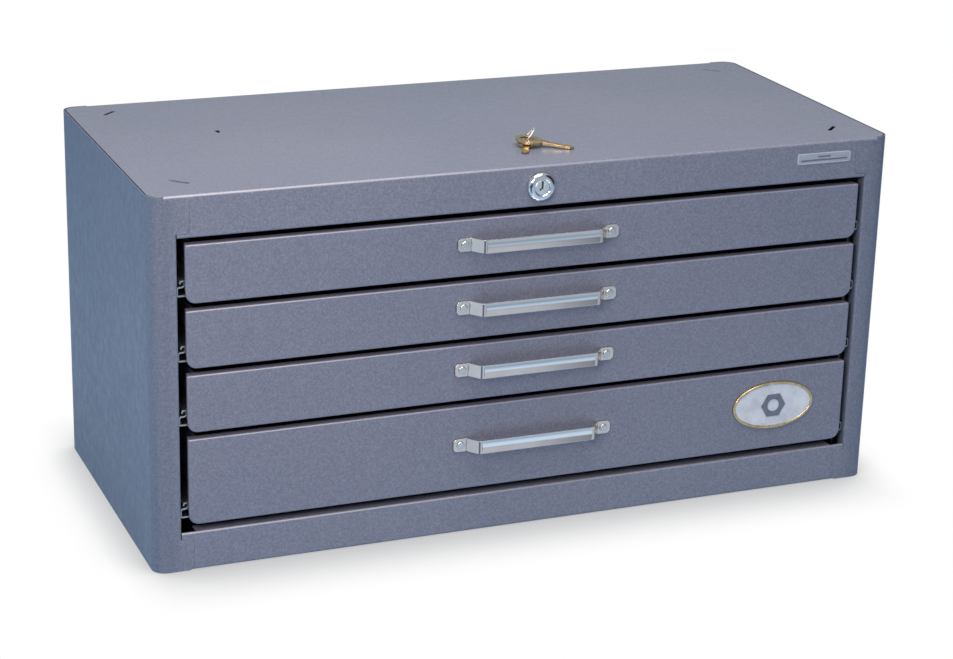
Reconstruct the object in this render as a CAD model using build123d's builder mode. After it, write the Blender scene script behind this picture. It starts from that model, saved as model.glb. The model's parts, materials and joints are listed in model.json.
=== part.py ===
from build123d import *
import os
from math import cos, radians, sin, tan

os.makedirs("parts", exist_ok=True)

# A bench-top steel cabinet with four drawers and a barrel lock.
# X runs to the right, Y to the back, Z up.
# The origin is the centre of the rectangle that the case stands on.

# Case
case_width = 606.0
case_depth = 274.0
case_height = 292.0
corner_radius = 11.0
case_sheet = 1.0
stile_width = 20.9
stile_return = 10.0
top_rail_height = 32.0
bottom_rail_height = 30.5
rail_return = 12.0
tab_width = 30.5
tab_step = 3.0
tab_top_drop = 3.4
tab_radii = (0.2, 4.0, 0.5, 0.2)
tab_root = 3.0
tab_seam = 0.06
tab_end_seam = 0.25
bottom_tab_step = 5.0
bottom_tab_radii = (0.2, 2.5, 1.0, 0.3, 0.2)
bottom_tab_slope_run = 4.0
bottom_tab_slope_rise = 3.0
ear_width = 14.0
ear_height = 22.0
ear_drop = 13.0
corner_relief = 20.0
corner_relief_inset = 8.0
seam = 0.1
bend_half = 291.5
bend_end_gap = 0.1
top_gap = 0.9
top_flange = 14.0
front_bend = 2.2
return_bend = 1.5
floor_setback = 14.0
cut_margin = 1.0

# Stacking slots cut across the corners of the top, and a small one near the left end
slot_length = 17.0
slot_width = 3.1
slot_inset_x = 33.0
slot_inset_front = 35.7
slot_inset_back = 28.5
small_slot_x = -203.6
small_slot_y = 29.0
small_slot_length = 9.0
small_slot_width = 3.2

# Drawer fronts, from the top down
side_gap = 5.45
front_shift = 0.6
front_gap = 5.5
bottom_gap = 6.1
shallow_front = 44.5
deep_front = 68.0
front_sheet = 0.9
front_return = 8.0
front_side_return = 3.0
front_edge_bend = 1.1
front_bottom_corner = 8.0
front_top_corner = 1.2
front_notch = 10.5

# Drawer boxes
box_half_width = 265.0
box_sheet = 0.9
box_floor_rise = 2.0
box_top_drop = 6.0
box_back = 112.0
box_bend = 2.0
box_corner = 2.5
hem_height = 5.0
hem_thickness = 0.9

# Slides
slide_sheet = 1.2
slide_gap = 0.4
slide_bend = 2.2
rail_rise = 4.8
rail_section = 7.8
rail_outer = 281.9
rail_inner = 268.2
rail_lip = 276.4
rail_lip_height = 2.8
rail_front = -133.0
rail_length = 257.0
runner_tip = 279.6
runner_foot = 7.0
runner_hook = 2.6
runner_front = -132.6
runner_length = 238.6
post_width = 18.0
post_bottom = 14.0
post_top = 250.0
post_rows = (-118.0, 92.0)

# Pulls
pull_sheet = 1.5
pull_height = 10.4
pull_half_length = 66.3
pull_ear_inner = 55.1
pull_grip_half = 47.8
pull_stand_off = 9.5
pull_crown = 0.6
pull_rise = 3.1
pull_bends = (2.4, 1.4, 1.4, 2.4)
pull_end_chamfer = 2.0
crown_inset = 1.5
crown_edge = 0.3
pull_hole_spacing = 121.0
rivet_hole = 2.1
rivet_radius = 2.0
rivet_head_radius = 3.1
rivet_head_height = 1.1
rivet_head_bend = 0.8
rivet_tail_radius = 3.2
rivet_tail_height = 0.9

# Badge and label
badge_width = 73.0
badge_height = 40.0
badge_x = 212.5
badge_z = 74.0
badge_rim_width = 2.2
badge_rim_height = 1.5
badge_rim_bend = 0.6
badge_face_height = 0.9
badge_gap = 0.05
badge_nut_radius = 11.0
badge_nut_bore = 5.2
badge_nut_relief = 0.5
label_width = 47.6
label_height = 8.7
label_thickness = 0.5
label_corner = 2.0
label_bend = 0.2
label_x = 243.5
label_z = 278.9

# Lock
lock_z = 275.7
bezel_radius = 11.3
bezel_face_radius = 8.2
bezel_height = 4.4
bezel_edge = 0.8
bezel_bulge = 0.9
bezel_bulge_height = 3.17
bore_chamfer = 0.6
barrel_radius = 8.0
barrel_length = 22.0
barrel_clearance = 0.2
plug_radius = 6.0
plug_clearance = 0.08
plug_inset = 0.5
plug_chamfer = 0.5
plug_rear = -112.0
keyway_width = 1.6
keyway_height = 6.2
keyway_rise = 1.9
keyway_depth = 12.0
keyway_ward_x = -1.5
keyway_ward_z = -1.3
nut_across_flats = 19.0
nut_thickness = 4.0
nut_gap = 0.05
nut_chamfer = 0.5
rod_radius = 3.0
rod_clearance = 0.08
crank_front = 118.0
crank_thickness = 2.5
crank_pin_radius = 2.0
crank_wall = 2.0
crank_throw = 7.0
crank_pin_length = 7.5
unlocked_angle = radians(45.0)
bracket_y = 100.0
bracket_thickness = 2.0
bracket_half_width = 11.0
bracket_foot = 14.0
bracket_drop = 9.0

# Lock bar and the catches that it holds
bar_front = 124.0
bar_sheet = 1.5
bar_half_width = 13.0
bar_slot_clearance = 0.35
bar_slot_end = 1.0
bar_top_gap = 2.5
hook_half_width = 7.0
hook_reach = 9.4
hook_foot = 6.0
lip_height = 5.0
catch_sheet = 1.2
catch_reach = 7.0
catch_rise = 20.0
catch_foot = 10.0
hook_gap = 1.0
bar_lift = 2 * crank_throw * sin(unlocked_angle)
guide_heights = (101.0, 218.0)
guide_height = 12.0
guide_clearance = 0.4
guide_foot = 9.0
guide_lip = 4.0

# Keys
key_thickness = 1.8
key_shank_width = 5.6
key_cut_start = 10.0
key_cut_pitch = 4.2
key_cut_size = 2.0
key_cut_depths = (1.2, 1.8, 1.4)
key_tip = 4.0
key_hole_x = 11.8
key_hole_y = -81.0
key_ring_radius = 7.0
key_ring_wire = 0.6
key_ring_heading = 66.7
key_ring_lean = 34.0
key_ring_across = 5.4
key_ring_side = 2.45
rest_clearance = 0.05
# for each key: heading and tilt in degrees, length, bow radius, hole offset, hole radius
key_1_sizes = (-33.4, 6.2, 46.0, 11.0, 2.2, 5.4)
key_2_sizes = (-116.0, 3.2, 31.2, 6.8, 2.0, 3.7)

# Values worked out from the ones above
half_width = case_width / 2
front_y = -case_depth / 2
back_y = case_depth / 2
plate_z = case_height - case_sheet
opening_half = half_width - stile_width
opening_top = case_height - top_rail_height
rail_edge = opening_half - seam
tab_x = half_width - tab_width
front_half = opening_half - side_gap
back_panel_y = back_y - case_sheet
back_face_y = back_panel_y - case_sheet
top_half_width = half_width - case_sheet - top_gap
top_front_y = front_y + case_sheet + top_gap
top_back_y = back_face_y - seam
box_front = front_y + front_sheet
hole_x = pull_hole_spacing / 2


def drawer_stack():
    """The four drawers as (number, lower edge, height), from the bottom one up."""
    lower_edge = bottom_rail_height + bottom_gap
    stack = []
    for number, height in ((4, deep_front), (3, shallow_front), (2, shallow_front), (1, shallow_front)):
        stack.append((number, lower_edge, height))
        lower_edge += height + front_gap
    return stack


def save(piece, name):
    piece.part.label = name
    export_step(piece.part, f"parts/{name}.step")


def tab_points(side, grow, end_grow):
    """Corner tab of a side panel at the top, in the front plane, larger by the two seams."""
    lower = opening_top + tab_step - end_grow
    upper = case_height - tab_top_drop + grow
    inner = tab_x - grow
    return (
        (side * (opening_half + tab_root), lower),
        (side * inner, lower),
        (side * inner, upper),
        (side * (opening_half + tab_root), upper),
    )


def bottom_tab_points(side, grow):
    """Corner tab of a side panel at the bottom, in the front plane, larger by grow."""
    upper = bottom_rail_height - bottom_tab_step + grow
    inner = tab_x - grow
    return (
        (side * (opening_half + tab_root), upper),
        (side * inner, upper),
        (side * inner, bottom_tab_slope_rise - grow),
        (side * (inner + bottom_tab_slope_run), -cut_margin),
        (side * (opening_half + tab_root), -cut_margin),
    )


def make_top_panel():
    with BuildPart() as panel:
        with BuildSketch(Plane.YZ):
            with BuildLine():
                FilletPolyline(
                    (back_y, case_height - top_flange),
                    (back_y, case_height),
                    (front_y, case_height),
                    (front_y, opening_top),
                    (front_y + rail_return, opening_top),
                    radius=(front_bend, front_bend, return_bend),
                )
                offset(amount=case_sheet, side=Side.LEFT)
            make_face()
        extrude(amount=rail_edge, both=True)
        for side in (-1, 1):
            with BuildSketch(Plane.XZ.offset(-front_y + cut_margin)):
                with BuildLine():
                    FilletPolyline(*tab_points(side, tab_seam, tab_end_seam), radius=tab_radii, close=True)
                make_face()
            extrude(amount=-(front_bend + 2 * cut_margin), mode=Mode.SUBTRACT)
            with BuildSketch(Plane.XY.offset(opening_top - cut_margin)):
                with Locations((side * (tab_x + corner_relief_inset), front_y + rail_return)):
                    Rectangle(corner_relief, corner_relief)
            extrude(amount=case_sheet + 2 * cut_margin, mode=Mode.SUBTRACT)
        # the sheet itself, which lies inside the rims of the side panels with a groove round it
        with BuildSketch(Plane.XY.offset(plate_z)):
            with Locations((0, (top_front_y + top_back_y) / 2)):
                RectangleRounded(
                    2 * top_half_width,
                    top_back_y - top_front_y,
                    corner_radius - case_sheet - top_gap,
                )
        extrude(amount=case_sheet)
        # the front bend goes on over the tabs, out to the rounding of the corners
        with BuildSketch(Plane.YZ.offset(-bend_half)):
            with BuildLine():
                FilletPolyline(
                    (top_front_y + cut_margin, case_height),
                    (front_y, case_height),
                    (front_y, case_height - tab_top_drop + tab_seam),
                    radius=front_bend,
                )
                offset(amount=case_sheet, side=Side.LEFT)
            make_face()
        extrude(amount=2 * bend_half)
        # joggled ears that lie behind the tabs of the side panels
        with BuildSketch(Plane.XZ.offset(-front_y - case_sheet)):
            with Locations((tab_x, plate_z - ear_drop), (-tab_x, plate_z - ear_drop)):
                Rectangle(ear_width, ear_height)
        extrude(amount=-case_sheet)
        # flanges turned down inside the sides
        with BuildSketch(Plane.XY.offset(case_height - top_flange)):
            for side in (-1, 1):
                with Locations((side * (top_half_width - case_sheet / 2), 0)):
                    Rectangle(case_sheet, case_depth - 3 * corner_radius)
        extrude(amount=top_flange - case_sheet / 2)
        with BuildSketch(Plane.XY.offset(plate_z - cut_margin)):
            for side in (-1, 1):
                with Locations((side * (half_width - slot_inset_x), front_y + slot_inset_front)):
                    SlotOverall(slot_length, slot_width, rotation=side * 45)
                with Locations((side * (half_width - slot_inset_x), back_y - slot_inset_back)):
                    SlotOverall(slot_length, slot_width, rotation=-side * 45)
            with Locations((small_slot_x, small_slot_y)):
                SlotOverall(small_slot_length, small_slot_width, rotation=90)
        extrude(amount=case_sheet + 2 * cut_margin, mode=Mode.SUBTRACT)
        with BuildSketch(Plane.XZ.offset(-front_y + cut_margin)):
            with Locations((0, lock_z)):
                Circle(barrel_radius + barrel_clearance)
        extrude(amount=-(case_sheet + 2 * cut_margin), mode=Mode.SUBTRACT)
    return panel


def make_side_panel(side):
    with BuildPart() as panel:
        with BuildSketch(Plane.XY):
            with BuildLine():
                FilletPolyline(
                    (side * opening_half, front_y + stile_return),
                    (side * opening_half, front_y),
                    (side * half_width, front_y),
                    (side * half_width, back_y),
                    (side * opening_half, back_y),
                    radius=(return_bend, corner_radius, corner_radius),
                )
                offset(amount=case_sheet, side=Side.LEFT if side > 0 else Side.RIGHT)
            make_face()
        extrude(amount=case_height)
        # the stile's return stops short of the tabs
        bottom_step_z = bottom_rail_height - bottom_tab_step
        top_step_z = opening_top + tab_step
        for low, high in ((-cut_margin, bottom_step_z), (top_step_z, case_height)):
            with BuildSketch(Plane.XY.offset(low)):
                with Locations((side * opening_half, front_y + stile_return / 2)):
                    Rectangle(2 * (case_sheet + return_bend), stile_return + 2 * cut_margin)
            extrude(amount=high - low, mode=Mode.SUBTRACT)
        with BuildSketch(Plane.XZ.offset(-front_y - case_sheet)):
            with BuildLine():
                FilletPolyline(*tab_points(side, 0, 0), radius=tab_radii, close=True)
            make_face()
            with BuildLine():
                FilletPolyline(*bottom_tab_points(side, 0), radius=bottom_tab_radii, close=True)
            make_face()
        extrude(amount=case_sheet)
        with BuildSketch(Plane.XY.offset(-2 * cut_margin)):
            Rectangle(2 * case_width, 2 * case_depth)
        extrude(amount=2 * cut_margin, mode=Mode.SUBTRACT)
        # room for the bend of the top
        with BuildSketch(Plane.XY.offset(case_height - tab_top_drop)):
            with Locations((0, front_y)):
                Rectangle(2 * (bend_half + bend_end_gap), 2 * (case_sheet + cut_margin))
        extrude(amount=tab_top_drop + cut_margin, mode=Mode.SUBTRACT)
    return panel


def make_bottom_panel():
    with BuildPart() as panel:
        with BuildSketch(Plane.YZ):
            with BuildLine():
                FilletPolyline(
                    (back_face_y, post_bottom),
                    (back_face_y, 0),
                    (front_y, 0),
                    (front_y, bottom_rail_height),
                    (front_y + rail_return, bottom_rail_height),
                    radius=(return_bend, front_bend, return_bend),
                )
                offset(amount=case_sheet, side=Side.RIGHT)
            make_face()
        extrude(amount=rail_edge, both=True)
        for side in (-1, 1):
            with BuildSketch(Plane.XZ.offset(-front_y + cut_margin)):
                with BuildLine():
                    FilletPolyline(
                        *bottom_tab_points(side, tab_seam),
                        radius=bottom_tab_radii,
                        close=True,
                    )
                make_face()
            extrude(amount=-(front_bend + 2 * cut_margin), mode=Mode.SUBTRACT)
            with BuildSketch(Plane.XY.offset(bottom_rail_height - case_sheet - cut_margin)):
                with Locations((side * (tab_x + corner_relief_inset), front_y + rail_return)):
                    Rectangle(corner_relief, corner_relief)
            extrude(amount=case_sheet + 2 * cut_margin, mode=Mode.SUBTRACT)
        # floor out to the side panels, with its welded flanges turned up
        floor_half = half_width - case_sheet
        with BuildSketch(Plane.XY):
            Rectangle(2 * floor_half, case_depth - 2 * floor_setback)
        extrude(amount=case_sheet)
        with BuildSketch(Plane.XY):
            with Locations((floor_half - case_sheet / 2, 0), (-floor_half + case_sheet / 2, 0)):
                Rectangle(case_sheet, case_depth - 2 * floor_setback)
        extrude(amount=post_bottom - cut_margin)
        with BuildSketch(Plane.XZ.offset(-front_y - case_sheet)):
            with Locations((tab_x, ear_drop), (-tab_x, ear_drop)):
                Rectangle(ear_width, ear_height)
        extrude(amount=-case_sheet)
    return panel


def make_back_panel():
    panel_half = half_width - corner_radius - case_sheet
    panel_top = plate_z - front_bend
    with BuildPart() as panel:
        with BuildSketch(Plane.XZ.offset(-back_panel_y)):
            with Locations((0, (panel_top + case_sheet) / 2)):
                Rectangle(2 * panel_half, panel_top - case_sheet)
        extrude(amount=case_sheet)
    return panel


def make_slide_post(side, row):
    """Channel welded to a side panel, which carries the case rails."""
    with BuildPart() as post:
        with BuildSketch(Plane.XY.offset(post_bottom)):
            with BuildLine():
                FilletPolyline(
                    (side * (half_width - case_sheet), row + post_width),
                    (side * (half_width - case_sheet), row),
                    (side * rail_outer, row),
                    (side * rail_outer, row + post_width),
                    radius=return_bend,
                )
                offset(amount=slide_sheet, side=Side.RIGHT if side > 0 else Side.LEFT)
            make_face()
        extrude(amount=post_top - post_bottom)
    return post


def make_rail(side, lower_edge):
    """Case rail: a channel with a trough along its top for the hook of the runner."""
    low = lower_edge + rail_rise
    trough = low + rail_section
    with BuildPart() as rail:
        with BuildSketch(Plane.XZ.offset(-rail_front)):
            with BuildLine():
                FilletPolyline(
                    (side * rail_inner, low),
                    (side * rail_outer, low),
                    (side * rail_outer, trough),
                    (side * rail_lip, trough),
                    (side * rail_lip, trough + rail_lip_height),
                    radius=(return_bend, slide_bend, return_bend),
                )
                offset(amount=slide_sheet, side=Side.LEFT if side > 0 else Side.RIGHT)
            make_face()
        extrude(amount=-rail_length)
    return rail


def make_runner(side, lower_edge):
    """Drawer runner: a flange off the side of the box, hooked down over the rail's lip."""
    top = lower_edge + rail_rise + rail_section + rail_lip_height + slide_gap + slide_sheet
    with BuildPart() as runner:
        with BuildSketch(Plane.XZ.offset(-runner_front)):
            with BuildLine():
                FilletPolyline(
                    (side * box_half_width, top - runner_foot),
                    (side * box_half_width, top),
                    (side * runner_tip, top),
                    (side * runner_tip, top - runner_hook),
                    radius=return_bend,
                )
                offset(amount=slide_sheet, side=Side.RIGHT if side > 0 else Side.LEFT)
            make_face()
        extrude(amount=-runner_length)
    return runner


def make_drawer_front(lower_edge, height):
    pull_z = lower_edge + height / 2 + pull_rise
    with BuildPart() as front:
        with BuildSketch(Plane.XZ.offset(-front_y)) as outline:
            with Locations((front_shift, lower_edge + height / 2)):
                Rectangle(2 * front_half, height)
            fillet(outline.vertices().group_by(Axis.Y)[0], front_bottom_corner)
            fillet(outline.vertices().group_by(Axis.Y)[-1], front_top_corner)
        extrude(amount=-front_return)
        fillet(front.faces().sort_by(Axis.Y)[0].edges(), front_edge_bend)
        offset(amount=-front_sheet, openings=front.faces().sort_by(Axis.Y)[-1])
        # the returns stop short of the rails, and leave the rounded lower corners free
        with BuildSketch(Plane.XZ.offset(-front_y - front_side_return)):
            for side in (-1, 1):
                side_x = front_shift + side * front_half
                with Locations((side_x, lower_edge + height / 2)):
                    Rectangle(2 * front_edge_bend, height + cut_margin)
        extrude(amount=-front_return, mode=Mode.SUBTRACT)
        with BuildSketch(Plane.XZ.offset(-front_y - front_edge_bend)):
            for side in (-1, 1):
                side_x = front_shift + side * front_half
                with Locations((side_x, lower_edge)):
                    Rectangle(2 * front_notch, 2 * front_notch)
        extrude(amount=-front_return, mode=Mode.SUBTRACT)
        with BuildSketch(Plane.XZ.offset(-front_y + cut_margin)):
            with Locations((-hole_x, pull_z), (hole_x, pull_z)):
                Circle(rivet_hole)
        extrude(amount=-(front_sheet + 2 * cut_margin), mode=Mode.SUBTRACT)
    return front


def make_drawer_box(lower_edge, height):
    floor_z = lower_edge + box_floor_rise
    box_top = lower_edge + height - box_top_drop
    pull_z = lower_edge + height / 2 + pull_rise
    box_middle = (box_front + box_back) / 2
    with BuildPart() as box:
        with BuildSketch(Plane.XY.offset(floor_z)):
            with Locations((0, box_middle)):
                RectangleRounded(2 * box_half_width, box_back - box_front, box_corner)
        extrude(amount=box_top - floor_z)
        fillet(box.faces().sort_by(Axis.Z)[0].edges(), box_bend)
        offset(amount=-box_sheet, openings=box.faces().sort_by(Axis.Z)[-1])
        # hems folded out along the top of the two sides
        with BuildSketch(Plane.XY.offset(box_top - hem_height)):
            for side in (-1, 1):
                with Locations((side * (box_half_width + hem_thickness / 2), box_middle)):
                    Rectangle(hem_thickness, box_back - box_front - 4 * box_bend)
        extrude(amount=hem_height)
        with BuildSketch(Plane.XZ.offset(-box_front + cut_margin)):
            with Locations((-hole_x, pull_z), (hole_x, pull_z)):
                Circle(rivet_hole)
        extrude(amount=-(box_sheet + 2 * cut_margin), mode=Mode.SUBTRACT)
    return box


def make_pull(pull_z):
    """Strip bent into a fixed pull, with two ears on the drawer front."""
    with BuildPart() as pull:
        with BuildSketch(Plane.XY.offset(pull_z - pull_height / 2)):
            with BuildLine():
                FilletPolyline(
                    (-pull_half_length, front_y),
                    (-pull_ear_inner, front_y),
                    (-pull_grip_half, front_y - pull_stand_off),
                    (pull_grip_half, front_y - pull_stand_off),
                    (pull_ear_inner, front_y),
                    (pull_half_length, front_y),
                    radius=pull_bends,
                )
                offset(amount=pull_sheet, side=Side.RIGHT)
            make_face()
        extrude(amount=pull_height)
        ends = pull.edges().filter_by(Axis.Y).group_by(Axis.X)
        chamfer(ends[0] + ends[-1], pull_end_chamfer)
        # crowned outer face of the grip
        grip_face = front_y - pull_stand_off - pull_sheet
        crown_low = (grip_face, pull_z - pull_height / 2 + crown_edge)
        crown_high = (grip_face, pull_z + pull_height / 2 - crown_edge)
        with BuildSketch(Plane.YZ.offset(-pull_grip_half + crown_inset)):
            with BuildLine():
                ThreePointArc(crown_low, (grip_face - pull_crown, pull_z), crown_high)
                Line(crown_low, crown_high)
            make_face()
        extrude(amount=2 * (pull_grip_half - crown_inset))
        with BuildSketch(Plane.XZ.offset(-front_y + pull_sheet + cut_margin)):
            with Locations((-hole_x, pull_z), (hole_x, pull_z)):
                Circle(rivet_hole)
        extrude(amount=-(pull_sheet + 2 * cut_margin), mode=Mode.SUBTRACT)
    return pull


def make_rivets(pull_z):
    """The two rivets of a pull: domed head, shank, and the tail behind the sheets."""
    head_y = front_y - pull_sheet
    tail_y = box_front + box_sheet
    with BuildPart() as rivets:
        with BuildSketch(Plane.XZ.offset(-head_y)):
            with Locations((-hole_x, pull_z), (hole_x, pull_z)):
                Circle(rivet_head_radius)
        extrude(amount=rivet_head_height)
        fillet(rivets.faces().filter_by(Axis.Y).group_by(Axis.Y)[0].edges(), rivet_head_bend)
        with BuildSketch(Plane.XZ.offset(-head_y)):
            with Locations((-hole_x, pull_z), (hole_x, pull_z)):
                Circle(rivet_radius)
        extrude(amount=-(tail_y - head_y))
        with BuildSketch(Plane.XZ.offset(-tail_y)):
            with Locations((-hole_x, pull_z), (hole_x, pull_z)):
                Circle(rivet_tail_radius)
        extrude(amount=-rivet_tail_height)
    return rivets


def make_badge_rim():
    with BuildPart() as rim:
        with BuildSketch(Plane.XZ.offset(-front_y)):
            with Locations((badge_x, badge_z)):
                Ellipse(badge_width / 2, badge_height / 2)
                Ellipse(
                    badge_width / 2 - badge_rim_width,
                    badge_height / 2 - badge_rim_width,
                    mode=Mode.SUBTRACT,
                )
        extrude(amount=badge_rim_height)
        fillet(rim.faces().sort_by(Axis.Y)[0].edges(), badge_rim_bend)
    return rim


def make_badge_face():
    """Pale plate inside the rim, with a raised hexagon nut on it."""
    with BuildPart() as face:
        with BuildSketch(Plane.XZ.offset(-front_y)):
            with Locations((badge_x, badge_z)):
                Ellipse(
                    badge_width / 2 - badge_rim_width - badge_gap,
                    badge_height / 2 - badge_rim_width - badge_gap,
                )
        extrude(amount=badge_face_height)
        with BuildSketch(Plane.XZ.offset(-front_y + badge_face_height)):
            with Locations((badge_x, badge_z)):
                RegularPolygon(radius=badge_nut_radius, side_count=6)
                Circle(badge_nut_bore, mode=Mode.SUBTRACT)
        extrude(amount=badge_nut_relief)
    return face


def make_label_plate():
    with BuildPart() as label:
        with BuildSketch(Plane.XZ.offset(-front_y)):
            with Locations((label_x, label_z)):
                RectangleRounded(label_width, label_height, label_corner)
        extrude(amount=label_thickness)
        fillet(label.faces().sort_by(Axis.Y)[0].edges(), label_bend)
    return label


def make_lock_housing():
    """Domed bezel in front of the rail and the barrel behind it, bored for the plug."""
    bore = plug_radius + plug_clearance
    rim_y = front_y - bezel_height
    with BuildPart() as housing:
        with BuildSketch(Plane.XY.offset(lock_z)):
            with BuildLine():
                Polyline(
                    (bezel_face_radius, rim_y),
                    (bore + bore_chamfer, rim_y),
                    (bore, rim_y + bore_chamfer),
                    (bore, front_y + barrel_length),
                    (barrel_radius, front_y + barrel_length),
                    (barrel_radius, front_y),
                    (bezel_radius, front_y),
                    (bezel_radius, front_y - bezel_edge),
                )
                ThreePointArc(
                    (bezel_radius, front_y - bezel_edge),
                    (bezel_radius - bezel_bulge, front_y - bezel_bulge_height),
                    (bezel_face_radius, rim_y),
                )
            make_face()
        revolve(axis=Axis((0, 0, lock_z), (0, 1, 0)))
    return housing


def make_lock_nut():
    with BuildPart() as nut:
        with BuildSketch(Plane.XZ.offset(-front_y - case_sheet)):
            with Locations((0, lock_z)):
                RegularPolygon(radius=nut_across_flats / 2, side_count=6, major_radius=False, rotation=30)
                Circle(barrel_radius + nut_gap, mode=Mode.SUBTRACT)
        extrude(amount=-nut_thickness)
        chamfer(nut.faces().sort_by(Axis.Y)[-1].edges().filter_by(GeomType.LINE), nut_chamfer)
    return nut


def make_lock_plug():
    face_y = front_y - bezel_height + plug_inset
    with BuildPart() as plug:
        with BuildSketch(Plane.XZ.offset(-face_y)):
            with Locations((0, lock_z)):
                Circle(plug_radius)
        extrude(amount=-(plug_rear - face_y))
        chamfer(plug.faces().sort_by(Axis.Y)[0].edges(), plug_chamfer)
        with BuildSketch(Plane.XZ.offset(-face_y + cut_margin)):
            with Locations((0, lock_z + keyway_rise)):
                Rectangle(keyway_width, keyway_height)
            with Locations((keyway_ward_x, lock_z + keyway_ward_z)):
                Rectangle(keyway_width, keyway_width)
        extrude(amount=-(keyway_depth + cut_margin), mode=Mode.SUBTRACT)
    return plug


def make_lock_rod():
    with BuildPart() as rod:
        with BuildSketch(Plane.XZ.offset(-plug_rear)):
            with Locations((0, lock_z)):
                Circle(rod_radius)
        extrude(amount=-(crank_front - plug_rear))
    return rod


def make_lock_crank():
    """Arm on the rear end of the rod, with the pin that raises and lowers the lock bar."""
    pin_x = crank_throw * cos(unlocked_angle)
    pin_z = lock_z + crank_throw * sin(unlocked_angle)
    with BuildPart() as crank:
        with BuildSketch(Plane.XZ.offset(-crank_front)):
            with BuildLine():
                CenterArc((0, lock_z), rod_radius + crank_wall, 135, 180)
                CenterArc((pin_x, pin_z), crank_pin_radius + crank_wall, -45, 180)
            make_hull()
        extrude(amount=-crank_thickness)
        with BuildSketch(Plane.XZ.offset(-crank_front - crank_thickness)):
            with Locations((pin_x, pin_z)):
                Circle(crank_pin_radius)
        extrude(amount=-crank_pin_length)
    return crank


def make_rod_bracket():
    """Plate hung from the top, which carries the rear end of the rod."""
    with BuildPart() as bracket:
        with BuildSketch(Plane.XZ.offset(-bracket_y)):
            with Locations((0, (plate_z + lock_z - bracket_drop) / 2)):
                Rectangle(2 * bracket_half_width, plate_z - lock_z + bracket_drop)
        extrude(amount=-bracket_thickness)
        with BuildSketch(Plane.XY.offset(plate_z)):
            with Locations((0, bracket_y + bracket_foot / 2)):
                Rectangle(2 * bracket_half_width, bracket_foot)
        extrude(amount=-bracket_thickness)
        with BuildSketch(Plane.XZ.offset(-bracket_y + cut_margin)):
            with Locations((0, lock_z)):
                Circle(rod_radius + rod_clearance)
        extrude(amount=-(bracket_thickness + 2 * cut_margin), mode=Mode.SUBTRACT)
    return bracket


def make_lock_bar():
    """Flat bar behind the drawers with a slot for the crank pin."""
    pin_z = lock_z + crank_throw * sin(unlocked_angle)
    bar_top = plate_z - bar_top_gap
    lowest = drawer_stack()[0][1] + catch_rise + catch_sheet
    slot_low_x = crank_throw * cos(unlocked_angle) - crank_pin_radius - bar_slot_end
    slot_high_x = crank_throw + crank_pin_radius + bar_slot_end
    with BuildPart() as bar:
        with BuildSketch(Plane.XZ.offset(-bar_front)):
            with Locations((0, (bar_top + lowest) / 2)):
                Rectangle(2 * bar_half_width, bar_top - lowest)
            with Locations(((slot_low_x + slot_high_x) / 2, pin_z)):
                Rectangle(
                    slot_high_x - slot_low_x,
                    2 * (crank_pin_radius + bar_slot_clearance),
                    mode=Mode.SUBTRACT,
                )
        extrude(amount=-bar_sheet)
    return bar


def make_lock_hooks():
    """Four bent strips welded to the front of the lock bar, one for each drawer."""
    with BuildPart() as hooks:
        for number, lower_edge, height in drawer_stack():
            hook_under = lower_edge + catch_rise + catch_sheet + lip_height + hook_gap + bar_lift
            with BuildSketch(Plane.YZ.offset(-hook_half_width)):
                with BuildLine():
                    FilletPolyline(
                        (bar_front, hook_under + bar_sheet + hook_foot),
                        (bar_front, hook_under),
                        (bar_front - hook_reach + bar_sheet, hook_under),
                        (bar_front - hook_reach + bar_sheet, hook_under - lip_height),
                        radius=(return_bend + bar_sheet, return_bend),
                    )
                    offset(amount=bar_sheet, side=Side.RIGHT)
                make_face()
            extrude(amount=2 * hook_half_width)
    return hooks


def make_drawer_catch(lower_edge):
    """Bracket on a drawer's back whose lip the lock bar's hook drops in front of."""
    ledge_z = lower_edge + catch_rise
    with BuildPart() as catch:
        with BuildSketch(Plane.YZ.offset(-hook_half_width)):
            with BuildLine():
                Polyline(
                    (box_back, ledge_z - catch_foot),
                    (box_back + catch_sheet, ledge_z - catch_foot),
                    (box_back + catch_sheet, ledge_z),
                    (box_back + catch_reach, ledge_z),
                    (box_back + catch_reach, ledge_z + catch_sheet + lip_height),
                    (box_back + catch_reach - catch_sheet, ledge_z + catch_sheet + lip_height),
                    (box_back + catch_reach - catch_sheet, ledge_z + catch_sheet),
                    (box_back, ledge_z + catch_sheet),
                    close=True,
                )
            make_face()
        extrude(amount=2 * hook_half_width)
    return catch


def make_bar_guides():
    """Four clips on the back panel that hold the edges of the lock bar."""
    arm_x = bar_half_width + guide_clearance + catch_sheet / 2
    lip_y = bar_front - guide_clearance - catch_sheet / 2
    with BuildPart() as guides:
        for low in guide_heights:
            with BuildSketch(Plane.XY.offset(low - guide_height / 2)):
                for side in (-1, 1):
                    with Locations((side * arm_x, (lip_y + back_face_y) / 2 - catch_sheet / 4)):
                        Rectangle(catch_sheet, back_face_y - lip_y + catch_sheet / 2)
                    with Locations((side * (arm_x + guide_foot / 2), back_face_y - catch_sheet / 2)):
                        Rectangle(guide_foot, catch_sheet)
                    with Locations((side * (arm_x - guide_lip / 2 + catch_sheet / 2), lip_y)):
                        Rectangle(guide_lip, catch_sheet)
            extrude(amount=guide_height)
    return guides


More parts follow.
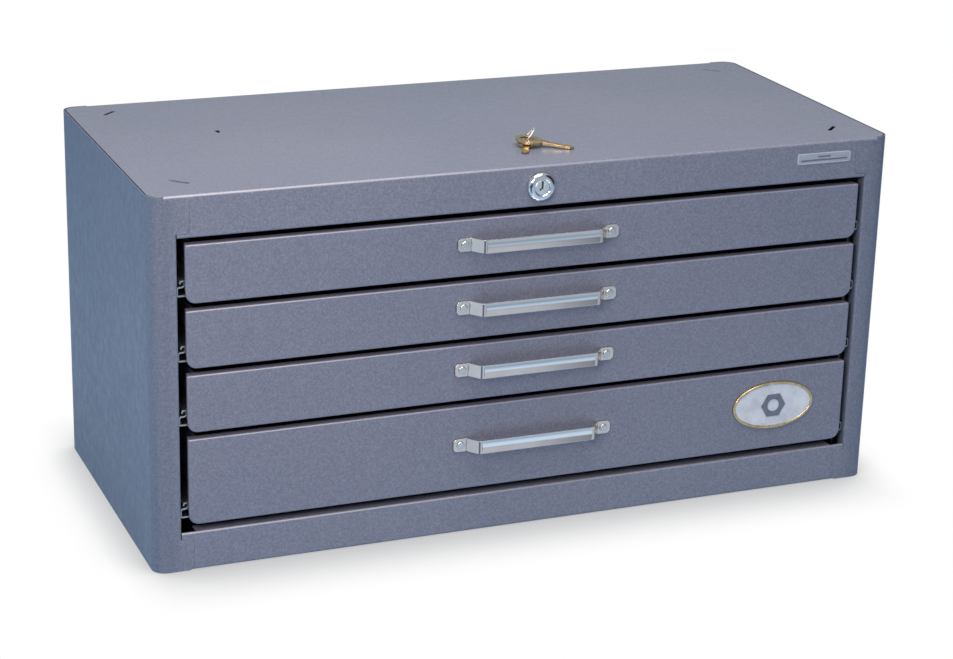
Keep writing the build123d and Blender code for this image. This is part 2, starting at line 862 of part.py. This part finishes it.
def make_key(heading, tilt, length, bow_radius, hole_offset, hole_radius):
    """Flat key whose hole is over the key ring's foot and whose tip rests on the top."""
    shank_end = length - bow_radius
    bow_x = key_hole_x + hole_offset * cos(radians(heading))
    bow_y = key_hole_y + hole_offset * sin(radians(heading))
    bow_z = case_height + rest_clearance + shank_end * tan(radians(tilt))
    turn = radians(heading)
    dip = radians(tilt)
    key_plane = Plane(
        origin=(bow_x, bow_y, bow_z),
        x_dir=(cos(turn) * cos(dip), sin(turn) * cos(dip), -sin(dip)),
        z_dir=(cos(turn) * sin(dip), sin(turn) * sin(dip), cos(dip)),
    )
    with BuildPart() as key:
        with BuildSketch(key_plane):
            Circle(bow_radius)
            with Locations((shank_end / 2, 0)):
                Rectangle(shank_end, key_shank_width)
            with Locations((-hole_offset, 0)):
                Circle(hole_radius, mode=Mode.SUBTRACT)
            # cuts along one edge of the shank, and the pointed tip
            for number, depth in enumerate(key_cut_depths):
                cut_x = shank_end - key_cut_start - key_cut_pitch * number
                with Locations((cut_x, key_shank_width / 2)):
                    Rectangle(key_cut_size, depth, rotation=45, mode=Mode.SUBTRACT)
            with Locations((shank_end, key_shank_width / 2), (shank_end, -key_shank_width / 2)):
                Rectangle(key_tip, key_tip, rotation=45, mode=Mode.SUBTRACT)
        extrude(amount=key_thickness)
    return key


def make_key_ring():
    """Wire ring that stands leaning in the holes of both keys."""
    heading = radians(key_ring_heading)
    lean = radians(key_ring_lean)
    along = Vector(cos(heading), sin(heading), 0)
    uphill = Vector(sin(heading) * sin(lean), -cos(heading) * sin(lean), cos(lean))
    sideways = Vector(sin(heading), -cos(heading), 0)
    foot = Vector(key_hole_x, key_hole_y, case_height + rest_clearance + key_ring_wire)
    centre = foot + along * key_ring_across - sideways * key_ring_side + uphill * key_ring_radius
    with BuildPart() as ring:
        with BuildSketch(Plane(origin=centre, x_dir=along, z_dir=along.cross(uphill).cross(along))):
            with Locations((key_ring_radius, 0)):
                Circle(key_ring_wire)
        revolve(axis=Axis(centre, along.cross(uphill)))
    return ring


save(make_top_panel(), "top_panel")
save(make_side_panel(-1), "left_side_panel")
save(make_side_panel(1), "right_side_panel")
save(make_bottom_panel(), "bottom_panel")
save(make_back_panel(), "back_panel")
for side, side_name in ((-1, "left"), (1, "right")):
    for row, row_name in zip(post_rows, ("front", "rear")):
        save(make_slide_post(side, row), f"{side_name}_{row_name}_post")

for number, lower_edge, height in drawer_stack():
    drawer = f"drawer_{number}"
    pull_z = lower_edge + height / 2 + pull_rise
    save(make_drawer_front(lower_edge, height), f"{drawer}_front")
    save(make_drawer_box(lower_edge, height), f"{drawer}_box")
    save(make_pull(pull_z), f"{drawer}_pull")
    save(make_rivets(pull_z), f"{drawer}_rivets")
    save(make_drawer_catch(lower_edge), f"{drawer}_catch")
    for side, side_name in ((-1, "left"), (1, "right")):
        save(make_rail(side, lower_edge), f"{side_name}_rail_{number}")
        save(make_runner(side, lower_edge), f"{drawer}_{side_name}_runner")

save(make_badge_rim(), "badge_rim")
save(make_badge_face(), "badge_face")
save(make_label_plate(), "label_plate")
save(make_lock_housing(), "lock_housing")
save(make_lock_nut(), "lock_nut")
save(make_lock_plug(), "lock_plug")
save(make_lock_rod(), "lock_rod")
save(make_lock_crank(), "lock_crank")
save(make_rod_bracket(), "rod_bracket")
save(make_lock_bar(), "lock_bar")
save(make_lock_hooks(), "lock_hooks")
save(make_bar_guides(), "lock_bar_guides")

save(make_key(*key_1_sizes), "key_1")
save(make_key(*key_2_sizes), "key_2")
save(make_key_ring(), "key_ring")
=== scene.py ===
import json
from math import cos, sin

import bpy
from mathutils import Matrix, Vector

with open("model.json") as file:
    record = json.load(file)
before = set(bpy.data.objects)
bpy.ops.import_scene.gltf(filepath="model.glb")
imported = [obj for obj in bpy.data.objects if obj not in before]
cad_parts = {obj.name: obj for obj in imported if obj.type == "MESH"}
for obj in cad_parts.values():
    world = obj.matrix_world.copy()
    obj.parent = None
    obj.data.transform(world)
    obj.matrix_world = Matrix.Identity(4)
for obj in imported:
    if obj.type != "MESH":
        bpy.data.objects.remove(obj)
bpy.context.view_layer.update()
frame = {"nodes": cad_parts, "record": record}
nodes = frame["nodes"]
MM = 0.001


# Camera, light and tones -------------------------------------------------------------------------

CAMERA_PLACE = Vector((-0.7074, -1.7325, 0.7715))
CAMERA_YAW = 0.3913
CAMERA_PITCH = 0.337
CAMERA_ROLL = 0.0262
CAMERA_LENS = 90.85
SENSOR_WIDTH = 36.0

# Painted reflections on the pull by the tilt of its surface, from below to above.
PULL_REFLECTION_BANDS = [
    (0.20, (0.98, 0.80, 0.68)),
    (0.45, (0.92, 0.75, 0.63)),
    (0.50, (0.98, 0.83, 0.72)),
    (0.58, (1.24, 1.18, 1.08)),
    (0.82, (1.50, 1.40, 1.26)),
]
# Painted shade on the lower half of the pull's far end: X range of the fade, tone.
PULL_FAR_END = (-0.005, 0.046)
PULL_FAR_SHADE = (0.16, 0.15, 0.16)
# Painted highlight along the pull's top edge, above 1.
PULL_EDGE_HIGHLIGHT = (2.4, 2.3, 2.1)
# Painted shade on the bent ends of the pull.
PULL_BENT_SHADE = (0.22, 0.21, 0.24)
# Painted dark reflections on the lock's bezel: direction, low and high of the mask, tone
BEZEL_RIGHT_REFLECTION = ((0.40, -0.80, 0.36), 0.925, 0.965, (0.10, 0.06, 0.06))
BEZEL_LEFT_REFLECTION = ((-0.50, -0.86, 0.0), 0.965, 0.985, (0.16, 0.17, 0.20))
CASE_GREY = (0.178, 0.187, 0.248)
DRAWER_GREY = (0.173, 0.181, 0.242)
SIDE_GREY = (0.172, 0.181, 0.241)
# Painted shade for the faces of the side panels that look sideways.
SIDE_SHADE_GREY = (0.117, 0.138, 0.198)
# Painted shade in narrow corners, for paint, plate and brass.
PAINT_CREVICE_SHADE = (0.20, 0.20, 0.23)
PLATE_CREVICE_SHADE = (0.16, 0.15, 0.16)
BRASS_CREVICE_SHADE = (0.30, 0.24, 0.16)
LABEL_INK = (0.09, 0.10, 0.14)
# height of the line, half of its length, both as a share of the plate
LABEL_LINES = ((0.34, 0.44), (0.64, 0.12))
SPECKLE_SCALE = 640.0
DRIFT_SCALE = 5.0
PEEL_SCALE = 520.0

WORLD_FILL = (0.39, 0.43, 0.46)
# name, place, target, size, power, colour
SOFTBOXES = (
    ("overhead", (-0.10, -0.42, 1.30), (0.0, 0.0, 0.2), (0.9, 0.7), 12.6, (1.0, 0.97, 0.93)),
    ("left_panel", (-1.35, 0.25, 0.45), (-0.3, 0.05, 0.15), (1.3, 0.9), 3.5, (0.40, 0.82, 1.0)),
    ("front_left", (-0.80, -0.98, 0.82), (-0.20, -0.13, 0.2), (0.5, 0.4), 8.3, (1.0, 0.84, 0.70)),
)
# Painted highlight along the bends: its tone, and its fade across X.
BEND_HIGHLIGHT_TONE = (0.40, 0.385, 0.46)
BEND_HIGHLIGHT_FADE = (-0.24, 0.10)
# Painted shade on the sideways faces fades onto the stiles across this X range.
STILE_SHADE_FADE = (0.280, 0.290)
FLOOR_HALF = 9.0
FLOOR_DROP = 0.0004
FLOOR_BOUNCE = (0.43, 0.55, 0.72)
SHADOW_REACH = 0.075
# Painted contact shadow: share of open sky, tone.
SHADOW_TONES = [
    (0.40, (0.52, 0.53, 0.54)),
    (0.60, (0.64, 0.65, 0.66)),
    (0.84, (0.88, 0.88, 0.88)),
    (1.0, (1, 1, 1)),
]
SHADOW_TONES_SIDE = [
    (0.35, (0.50, 0.51, 0.52)),
    (0.54, (0.74, 0.75, 0.76)),
    (0.76, (0.97, 0.97, 0.97)),
    (0.86, (1, 1, 1)),
]
SHADOW_TURN = (0.300, 0.330)


def make_camera():
    """A long lens, looking down on the left front corner."""
    forward = Vector((
        sin(CAMERA_YAW) * cos(CAMERA_PITCH),
        cos(CAMERA_YAW) * cos(CAMERA_PITCH),
        -sin(CAMERA_PITCH),
    ))
    level = Vector((cos(CAMERA_YAW), -sin(CAMERA_YAW), 0))
    upright = level.cross(forward)
    right = level * cos(CAMERA_ROLL) + upright * sin(CAMERA_ROLL)
    up = upright * cos(CAMERA_ROLL) - level * sin(CAMERA_ROLL)
    camera = bpy.data.objects.new("camera", bpy.data.cameras.new("camera"))
    camera.data.lens = CAMERA_LENS
    camera.data.sensor_width = SENSOR_WIDTH
    camera.data.clip_end = 50.0
    camera.matrix_world = Matrix((
        (right.x, up.x, -forward.x, CAMERA_PLACE.x),
        (right.y, up.y, -forward.y, CAMERA_PLACE.y),
        (right.z, up.z, -forward.z, CAMERA_PLACE.z),
        (0, 0, 0, 1),
    ))
    bpy.context.scene.collection.objects.link(camera)
    bpy.context.scene.camera = camera


def aim(lamp, target):
    lamp.rotation_euler = (target - lamp.location).to_track_quat("-Z", "Y").to_euler()


def area_light(name, place, target, size, power, colour):
    lamp = bpy.data.objects.new(name, bpy.data.lights.new(name, "AREA"))
    lamp.data.shape = "RECTANGLE"
    lamp.data.size, lamp.data.size_y = size
    lamp.data.energy = power
    lamp.data.color = colour
    lamp.location = Vector(place)
    lamp.visible_camera = False
    aim(lamp, Vector(target))
    bpy.context.scene.collection.objects.link(lamp)


def make_world():
    """White for the camera only; a dim, slightly blue fill for everything else."""
    world = bpy.data.worlds.new("studio")
    bpy.context.scene.world = world
    world.use_nodes = True
    nodes, links = world.node_tree.nodes, world.node_tree.links
    backdrop = nodes["Background"]
    backdrop.inputs["Color"].default_value = (1, 1, 1, 1)
    backdrop.inputs["Strength"].default_value = 1.0
    fill = nodes.new("ShaderNodeBackground")
    fill.inputs["Color"].default_value = (*WORLD_FILL, 1)
    path = nodes.new("ShaderNodeLightPath")
    mix = nodes.new("ShaderNodeMixShader")
    links.new(path.outputs["Is Camera Ray"], mix.inputs["Fac"])
    links.new(fill.outputs["Background"], mix.inputs[1])
    links.new(backdrop.outputs["Background"], mix.inputs[2])
    links.new(mix.outputs["Shader"], nodes["World Output"].inputs["Surface"])


def make_studio():
    make_world()
    for name, place, target, size, power, colour in SOFTBOXES:
        area_light(name, place, target, size, power, colour)
    view = bpy.context.scene.view_settings
    view.view_transform = "Standard"
    view.look = "None"
    view.exposure = 0.0
    view.gamma = 1.0


def make_floor():
    """A self-lit white sheet with a painted contact shadow to the camera; bluish to the light."""
    mesh = bpy.data.meshes.new("floor")
    corners = [(-FLOOR_HALF, -FLOOR_HALF, 0), (FLOOR_HALF, -FLOOR_HALF, 0)]
    corners += [(FLOOR_HALF, FLOOR_HALF, 0), (-FLOOR_HALF, FLOOR_HALF, 0)]
    mesh.from_pydata(corners, [], [(0, 1, 2, 3)])
    floor = bpy.data.objects.new("floor", mesh)
    floor.location.z = -FLOOR_DROP
    bpy.context.scene.collection.objects.link(floor)
    material, shader = new_material("floor_white", 0.9, 0.0)
    shader.inputs["Base Color"].default_value = (*FLOOR_BOUNCE, 1)
    shader.inputs["Specular IOR Level"].default_value = 0.0
    tree = Tree(material)
    contact = tree.add("ShaderNodeAmbientOcclusion", samples=16)
    contact.inputs["Distance"].default_value = SHADOW_REACH
    glow = tree.add("ShaderNodeEmission")
    aside = tree.maths("ABSOLUTE", tree.axis("Object", "X"), 0.0)
    beside = tree.range(aside, *SHADOW_TURN, 0.0, 1.0)
    front_tone = tree.ramp(contact.outputs["AO"], SHADOW_TONES)
    side_tone = tree.ramp(contact.outputs["AO"], SHADOW_TONES_SIDE)
    tree.link(tree.mix(beside, front_tone, side_tone), glow.inputs["Color"])
    path = tree.add("ShaderNodeLightPath")
    mix = tree.add("ShaderNodeMixShader")
    tree.link(path.outputs["Is Camera Ray"], mix.inputs["Fac"])
    tree.link(shader.outputs["BSDF"], mix.inputs[1])
    tree.link(glow.outputs["Emission"], mix.inputs[2])
    tree.link(mix.outputs["Shader"], material.node_tree.nodes["Material Output"].inputs["Surface"])
    mesh.materials.append(material)


# Materials --------------------------------------------------------------------------------


def new_material(name, roughness, metallic):
    material = bpy.data.materials.new(name)
    material.use_nodes = True
    shader = material.node_tree.nodes["Principled BSDF"]
    shader.inputs["Roughness"].default_value = roughness
    shader.inputs["Metallic"].default_value = metallic
    return material, shader


class Tree:
    """Short ways to add and link shader nodes."""

    def __init__(self, material):
        self.tree = material.node_tree
        self.place = self.add("ShaderNodeTexCoord").outputs["Object"]

    def add(self, kind, **settings):
        node = self.tree.nodes.new(kind)
        for key, value in settings.items():
            setattr(node, key, value)
        return node

    def link(self, source, target):
        self.tree.links.new(source, target)

    def stretch(self, scale):
        node = self.add("ShaderNodeMapping")
        node.inputs["Scale"].default_value = scale
        self.link(self.place, node.inputs["Vector"])
        return node.outputs["Vector"]

    def noise(self, scale, detail=2.0, roughness=0.5, vector=None):
        node = self.add("ShaderNodeTexNoise")
        node.inputs["Scale"].default_value = scale
        node.inputs["Detail"].default_value = detail
        node.inputs["Roughness"].default_value = roughness
        self.link(vector or self.place, node.inputs["Vector"])
        return node.outputs["Fac"]

    def ramp(self, factor, stops):
        node = self.add("ShaderNodeValToRGB")
        elements = node.color_ramp.elements
        while len(elements) < len(stops):
            elements.new(0.5)
        for element, (position, colour) in zip(elements, stops):
            element.position = position
            element.color = (*colour, 1)
        self.link(factor, node.inputs["Fac"])
        return node.outputs["Color"]

    def range(self, factor, low, high, new_low, new_high):
        node = self.add("ShaderNodeMapRange")
        ends = {"From Min": low, "From Max": high, "To Min": new_low, "To Max": new_high}
        for key, value in ends.items():
            node.inputs[key].default_value = value
        self.link(factor, node.inputs["Value"])
        return node.outputs["Result"]

    def mix(self, factor, first, second, blend="MIX"):
        node = self.add("ShaderNodeMix", data_type="RGBA", blend_type=blend)
        sockets = (node.inputs[0], node.inputs[6], node.inputs[7])
        for value, socket in zip((factor, first, second), sockets):
            if isinstance(value, (int, float)):
                socket.default_value = value
            elif isinstance(value, tuple):
                socket.default_value = (*value, 1)
            else:
                self.link(value, socket)
        return node.outputs[2]

    def bump(self, height, strength, distance, normal=None):
        node = self.add("ShaderNodeBump")
        node.inputs["Strength"].default_value = strength
        node.inputs["Distance"].default_value = distance
        self.link(height, node.inputs["Height"])
        if normal:
            self.link(normal, node.inputs["Normal"])
        return node.outputs["Normal"]

    def axis(self, kind, letter):
        """One axis of the Object (metres) or Generated (0 to 1) coordinates."""
        split = self.add("ShaderNodeSeparateXYZ")
        self.link(self.add("ShaderNodeTexCoord").outputs[kind], split.inputs["Vector"])
        return split.outputs[letter]

    def maths(self, operation, first, second):
        """Output of one Math node."""
        node = self.add("ShaderNodeMath", operation=operation)
        for value, socket in zip((first, second), node.inputs):
            if isinstance(value, (int, float)):
                socket.default_value = value
            else:
                self.link(value, socket)
        return node.outputs[0]

    def facing(self, direction, radius, low, high):
        """0 to 1 mask of the surfaces whose softened normal is near one direction."""
        bevel = self.add("ShaderNodeBevel", samples=6)
        bevel.inputs["Radius"].default_value = radius
        dot = self.add("ShaderNodeVectorMath", operation="DOT_PRODUCT")
        self.link(bevel.outputs["Normal"], dot.inputs[0])
        dot.inputs[1].default_value = Vector(direction).normalized()
        return self.range(dot.outputs["Value"], low, high, 0.0, 1.0)

    def crevice_shade(self, reach, dark):
        """Painted shade: a factor that falls to dark in the narrow corners."""
        near = self.add("ShaderNodeAmbientOcclusion", samples=8)
        near.inputs["Distance"].default_value = reach
        return self.ramp(near.outputs["AO"], [(0.35, dark), (0.75, (1, 1, 1))])

    def off_centre(self, half_x, half_z):
        """Distance from the middle of the face, 1 on the edge of a rectangle."""
        from_middle = [
            self.maths("SUBTRACT", self.axis("Generated", letter), 0.5) for letter in "XZ"
        ]
        across, up = (self.maths("ABSOLUTE", offset, 0.0) for offset in from_middle)
        return self.maths(
            "MAXIMUM",
            self.maths("DIVIDE", across, half_x),
            self.maths("DIVIDE", up, half_z),
        )

    def edge(self, radius):
        """(softened normal, 0 to 1 mask of the sharp edges)."""
        bevel = self.add("ShaderNodeBevel", samples=6)
        bevel.inputs["Radius"].default_value = radius
        geometry = self.add("ShaderNodeNewGeometry")
        dot = self.add("ShaderNodeVectorMath", operation="DOT_PRODUCT")
        self.link(bevel.outputs["Normal"], dot.inputs[0])
        self.link(geometry.outputs["Normal"], dot.inputs[1])
        return bevel.outputs["Normal"], self.range(dot.outputs["Value"], 0.98, 0.75, 0.0, 1.0)


def enamel(name, colour, worn, bend_highlight_strength, side_shade=None):
    """Baked grey enamel: speckle, slow drift of tone, orange peel.

    The pale line along the bends and its fade from left to right are a painted highlight. The last
    argument is a painted shade for the faces that look sideways, with a fade towards it on the
    stiles.
    """
    material, shader = new_material(name, 0.36, 0.0)
    tree = Tree(material)
    ground = colour
    # Painted shade: faces that look sideways take the shade grey, fading onto the stiles.
    if side_shade:
        front = tree.facing((0, -1, 0), 0.2 * MM, 0.70, 0.98)
        out = tree.maths("ABSOLUTE", tree.axis("Object", "X"), 0.0)
        stile_shade = tree.mix(tree.range(out, *STILE_SHADE_FADE, 0.0, 0.6), colour, side_shade)
        ground = tree.mix(front, side_shade, stile_shade)
    grain = tree.noise(SPECKLE_SCALE, 4.0, 0.75)
    speckle = tree.ramp(grain, [(0.30, (0.72,) * 3), (0.5, (1.0,) * 3), (0.70, (1.32,) * 3)])
    clouds = tree.noise(DRIFT_SCALE, 2.0)
    drift = tree.ramp(clouds, [(0.3, (0.94, 0.95, 0.97)), (0.7, (1.05, 1.04, 1.03))])
    base = tree.mix(1.0, tree.mix(1.0, ground, speckle, "MULTIPLY"), drift, "MULTIPLY")
    soft, mask = tree.edge(0.6 * MM)
    rub = tree.range(tree.noise(60.0, 3.0), 0.35, 0.75, 0.05, worn)
    pale = tuple(min(1.0, c * 1.9 + 0.03) for c in colour)
    rubbed = tree.mix(tree.maths("MULTIPLY", mask, rub), base, pale)
    # Painted highlight along the bends, fading from left to right.
    bend_highlight_facing = tree.facing((0, -1, 1), 0.9 * MM, 0.86, 0.98)
    fade = tree.range(tree.axis("Object", "X"), *BEND_HIGHLIGHT_FADE, bend_highlight_strength, bend_highlight_strength * 0.2)
    patchy = tree.range(tree.noise(35.0, 2.0), 0.3, 0.7, 0.8, 1.0)
    bend_highlight_mask = tree.maths("MULTIPLY", bend_highlight_facing, tree.maths("MULTIPLY", fade, patchy))
    painted_bend_highlight = tree.mix(bend_highlight_mask, rubbed, BEND_HIGHLIGHT_TONE)
    # Painted shade in the narrow corners.
    shade = tree.crevice_shade(1.5 * MM, PAINT_CREVICE_SHADE)
    tree.link(tree.mix(1.0, painted_bend_highlight, shade, "MULTIPLY"), shader.inputs["Base Color"])
    tree.link(tree.range(tree.noise(140.0, 2.0), 0.3, 0.7, 0.30, 0.44), shader.inputs["Roughness"])
    peel = tree.bump(tree.noise(PEEL_SCALE, 2.0), 0.16, 0.25 * MM, soft)
    tree.link(tree.bump(tree.noise(9.0, 1.0), 0.10, 2.0 * MM, peel), shader.inputs["Normal"])
    shader.inputs["Specular IOR Level"].default_value = 0.45
    return material


def plated(name, colour, roughness, grain, spread):
    """Bright plate over rolled strip: fine grain along it, cloudy tone, brighter edges."""
    material, shader = new_material(name, roughness, 1.0)
    tree = Tree(material)
    cloud = tree.noise(55.0, 4.0, 0.6)
    dark = tuple(c * (1 - spread) for c in colour)
    light = tuple(min(1.0, c * (1 + spread)) for c in colour)
    body = tree.ramp(cloud, [(0.3, dark), (0.55, colour), (0.75, light)])
    lines = tree.noise(1.0, 4.0, 0.7, tree.stretch(grain))
    streaked = tree.mix(0.35, body, tree.ramp(lines, [(0.35, dark), (0.65, light)]))
    soft, mask = tree.edge(0.4 * MM)
    bright = tree.mix(tree.range(mask, 0, 1, 0, 0.4), streaked, light)
    # Painted shade in the narrow corners darkens the plate.
    tree.link(
        tree.mix(1.0, bright, tree.crevice_shade(2.2 * MM, PLATE_CREVICE_SHADE), "MULTIPLY"),
        shader.inputs["Base Color"],
    )
    tree.link(
        tree.range(lines, 0.3, 0.7, roughness * 0.75, roughness * 1.35),
        shader.inputs["Roughness"],
    )
    tree.link(tree.bump(lines, 0.12, 0.1 * MM, soft), shader.inputs["Normal"])
    return material


def pull_strip(name):
    """Bright zinc strip. Its bands are painted reflections, its bright edge a painted highlight,
    its dark ends painted shade.
    """
    material = plated(name, (0.80, 0.80, 0.80), 0.17, (14, 900, 900), 0.08)
    shader = material.node_tree.nodes["Principled BSDF"]
    source = shader.inputs["Base Color"].links[0].from_socket
    tree = Tree(material)
    normal = tree.add("ShaderNodeNewGeometry").outputs["Normal"]
    split = tree.add("ShaderNodeSeparateXYZ")
    tree.link(normal, split.inputs["Vector"])
    tilt = tree.range(split.outputs["Z"], -0.12, 0.12, 0.0, 1.0)
    # Painted reflections: bands by the tilt of the surface.
    reflection_bands = tree.ramp(tilt, PULL_REFLECTION_BANDS)
    # Painted shade on the lower half of the far end.
    far_end_shade = tree.range(tree.axis("Object", "X"), *PULL_FAR_END, 0.0, 0.6)
    below = tree.range(tilt, 0.35, 0.5, 1.0, 0.0)
    shaded_bands = tree.mix(tree.maths("MULTIPLY", far_end_shade, below), reflection_bands, PULL_FAR_SHADE)
    # Painted highlight on the edge that faces up and forward.
    ridge_highlight = tree.facing((0, -1, 1), 0.4 * MM, 0.88, 0.97)
    lit = tree.mix(ridge_highlight, shaded_bands, PULL_EDGE_HIGHLIGHT)
    # Painted shade on the bent ends that face left.
    bent_shade_mask = tree.facing((-0.43, -0.90, 0), 0.2 * MM, 0.955, 0.985)
    bent_shaded = tree.mix(bent_shade_mask, lit, PULL_BENT_SHADE)
    tree.link(tree.mix(1.0, source, bent_shaded, "MULTIPLY"), shader.inputs["Base Color"])
    return material


def brass(name, colour):
    """Handled brass: tarnish in patches, fine scratches, bright edges."""
    material, shader = new_material(name, 0.28, 1.0)
    tree = Tree(material)
    tarnish = tree.noise(180.0, 4.0, 0.65)
    dull = tuple(c * 0.55 for c in colour)
    bright = tuple(min(1.0, c * 1.25) for c in colour)
    base = tree.ramp(tarnish, [(0.30, dull), (0.5, colour), (0.72, bright)])
    soft, mask = tree.edge(0.3 * MM)
    polished = tree.mix(tree.range(mask, 0, 1, 0, 0.6), base, bright)
    # Painted shade in the narrow corners.
    shade = tree.crevice_shade(2.0 * MM, BRASS_CREVICE_SHADE)
    tree.link(tree.mix(1.0, polished, shade, "MULTIPLY"), shader.inputs["Base Color"])
    tree.link(tree.range(tarnish, 0.3, 0.7, 0.42, 0.20), shader.inputs["Roughness"])
    scratch = tree.noise(1.0, 3.0, 0.6, tree.stretch((900, 3000, 900)))
    tree.link(tree.bump(scratch, 0.25, 0.1 * MM, soft), shader.inputs["Normal"])
    return material


def chrome(name, colour, roughness):
    """Polished chrome with faint wipe marks."""
    material, shader = new_material(name, roughness, 1.0)
    tree = Tree(material)
    haze = tree.noise(260.0, 3.0)
    dim = tuple(c * 0.9 for c in colour)
    tree.link(tree.ramp(haze, [(0.35, dim), (0.65, colour)]), shader.inputs["Base Color"])
    tree.link(
        tree.range(haze, 0.3, 0.7, roughness * 0.7, roughness * 1.5),
        shader.inputs["Roughness"],
    )
    soft, mask = tree.edge(0.25 * MM)
    tree.link(tree.bump(haze, 0.05, 0.05 * MM, soft), shader.inputs["Normal"])
    return material


def bezel_chrome(name, colour):
    """Polished chrome of the lock's bezel. The two dark arcs on it are painted reflections."""
    material = chrome(name, colour, 0.10)
    shader = material.node_tree.nodes["Principled BSDF"]
    tree = Tree(material)
    right_way, right_low, right_high, right_tone = BEZEL_RIGHT_REFLECTION
    left_way, left_low, left_high, left_tone = BEZEL_LEFT_REFLECTION
    right = tree.facing(right_way, 0.2 * MM, right_low, right_high)
    left = tree.facing(left_way, 0.2 * MM, left_low, left_high)
    dim = tuple(c * 0.9 for c in colour)
    haze = tree.ramp(tree.noise(300.0, 3.0), [(0.35, dim), (0.65, colour)])
    reflected_right = tree.mix(right, haze, right_tone)
    tree.link(tree.mix(left, reflected_right, left_tone), shader.inputs["Base Color"])
    return material


def foil(name):
    """Silvery printed foil: a pale rim and two ruled lines, and nothing written."""
    material, shader = new_material(name, 0.38, 0.55)
    tree = Tree(material)
    grain = tree.noise(1.0, 3.0, 0.6, tree.stretch((60, 900, 1800)))
    ground = tree.ramp(grain, [(0.3, (0.40, 0.41, 0.47)), (0.7, (0.50, 0.51, 0.57))])
    rim = tree.range(tree.off_centre(0.485, 0.42), 0.96, 1.02, 0.0, 1.0)
    framed = tree.mix(rim, ground, (0.62, 0.63, 0.70))
    height = tree.axis("Generated", "Z")
    for level, reach in LABEL_LINES:
        gap = tree.maths("ABSOLUTE", tree.maths("SUBTRACT", height, level), 0.0)
        band = tree.range(gap, 0.060, 0.095, 0.75, 0.0)
        short = tree.range(tree.off_centre(reach, 5.0), 0.98, 1.0, 1.0, 0.0)
        framed = tree.mix(tree.maths("MULTIPLY", band, short), framed, LABEL_INK)
    tree.link(framed, shader.inputs["Base Color"])
    tree.link(tree.range(grain, 0.3, 0.7, 0.30, 0.46), shader.inputs["Roughness"])
    tree.link(tree.bump(grain, 0.10, 0.05 * MM), shader.inputs["Normal"])
    return material


def badge_enamel(name):
    """Pale glazed face with a raised hexagon nut in slate grey."""
    material, shader = new_material(name, 0.30, 0.0)
    tree = Tree(material)
    clouds = tree.noise(90.0, 3.0, 0.6)
    face = tree.ramp(clouds, [(0.3, (0.50, 0.52, 0.58)), (0.7, (0.66, 0.68, 0.73))])
    nut = tree.ramp(clouds, [(0.3, (0.10, 0.12, 0.16)), (0.7, (0.17, 0.19, 0.24))])
    raised = tree.range(tree.axis("Generated", "Y"), 0.20, 0.26, 1.0, 0.0)
    tree.link(tree.mix(raised, face, nut), shader.inputs["Base Color"])
    tree.link(tree.range(clouds, 0.3, 0.7, 0.22, 0.38), shader.inputs["Roughness"])
    tree.link(tree.bump(clouds, 0.08, 0.1 * MM, tree.edge(0.2 * MM)[0]), shader.inputs["Normal"])
    return material


def dress(material, *names):
    for name in names:
        mesh = nodes[name].data
        mesh.materials.clear()
        mesh.materials.append(material)


def dress_all():
    looks = {
        "case_paint": enamel("case_enamel", CASE_GREY, 0.20, 0.9),
        "drawer_paint": enamel("drawer_enamel", DRAWER_GREY, 0.20, 0.9),
        "zinc": plated("zinc_plate", (0.42, 0.43, 0.45), 0.38, (900, 12, 900), 0.18),
        "pull_zinc": pull_strip("pull_plate"),
        "rivet": plated("rivet_plate", (0.66, 0.65, 0.62), 0.24, (500, 500, 500), 0.20),
        "steel": plated("plain_steel", (0.42, 0.43, 0.45), 0.42, (300, 300, 300), 0.20),
        "chrome": bezel_chrome("bezel_chrome", (0.86, 0.87, 0.90)),
        "plug": chrome("plug_chrome", (1.0, 0.96, 0.90), 0.30),
        "brass": brass("key_brass", (0.60, 0.44, 0.22)),
        "gilt": brass("badge_gilt", (0.70, 0.52, 0.27)),
        "label": foil("label_foil"),
        "badge": badge_enamel("badge_face"),
    }
    for name in nodes:
        slot = next(s["material_slot"] for s in frame["record"]["subparts"] if s["node"] == name)
        dress(looks[slot], name)
    # The side panels carry painted shade on the faces that look sideways.
    side_paint = enamel("side_enamel", SIDE_GREY, 0.20, 0.2, SIDE_SHADE_GREY)
    dress(side_paint, "left_side_panel", "right_side_panel")
    dress(chrome("ring_chrome", (1.0, 1.0, 1.0), 0.35), "key_ring")


make_camera()
make_studio()
make_floor()
dress_all()
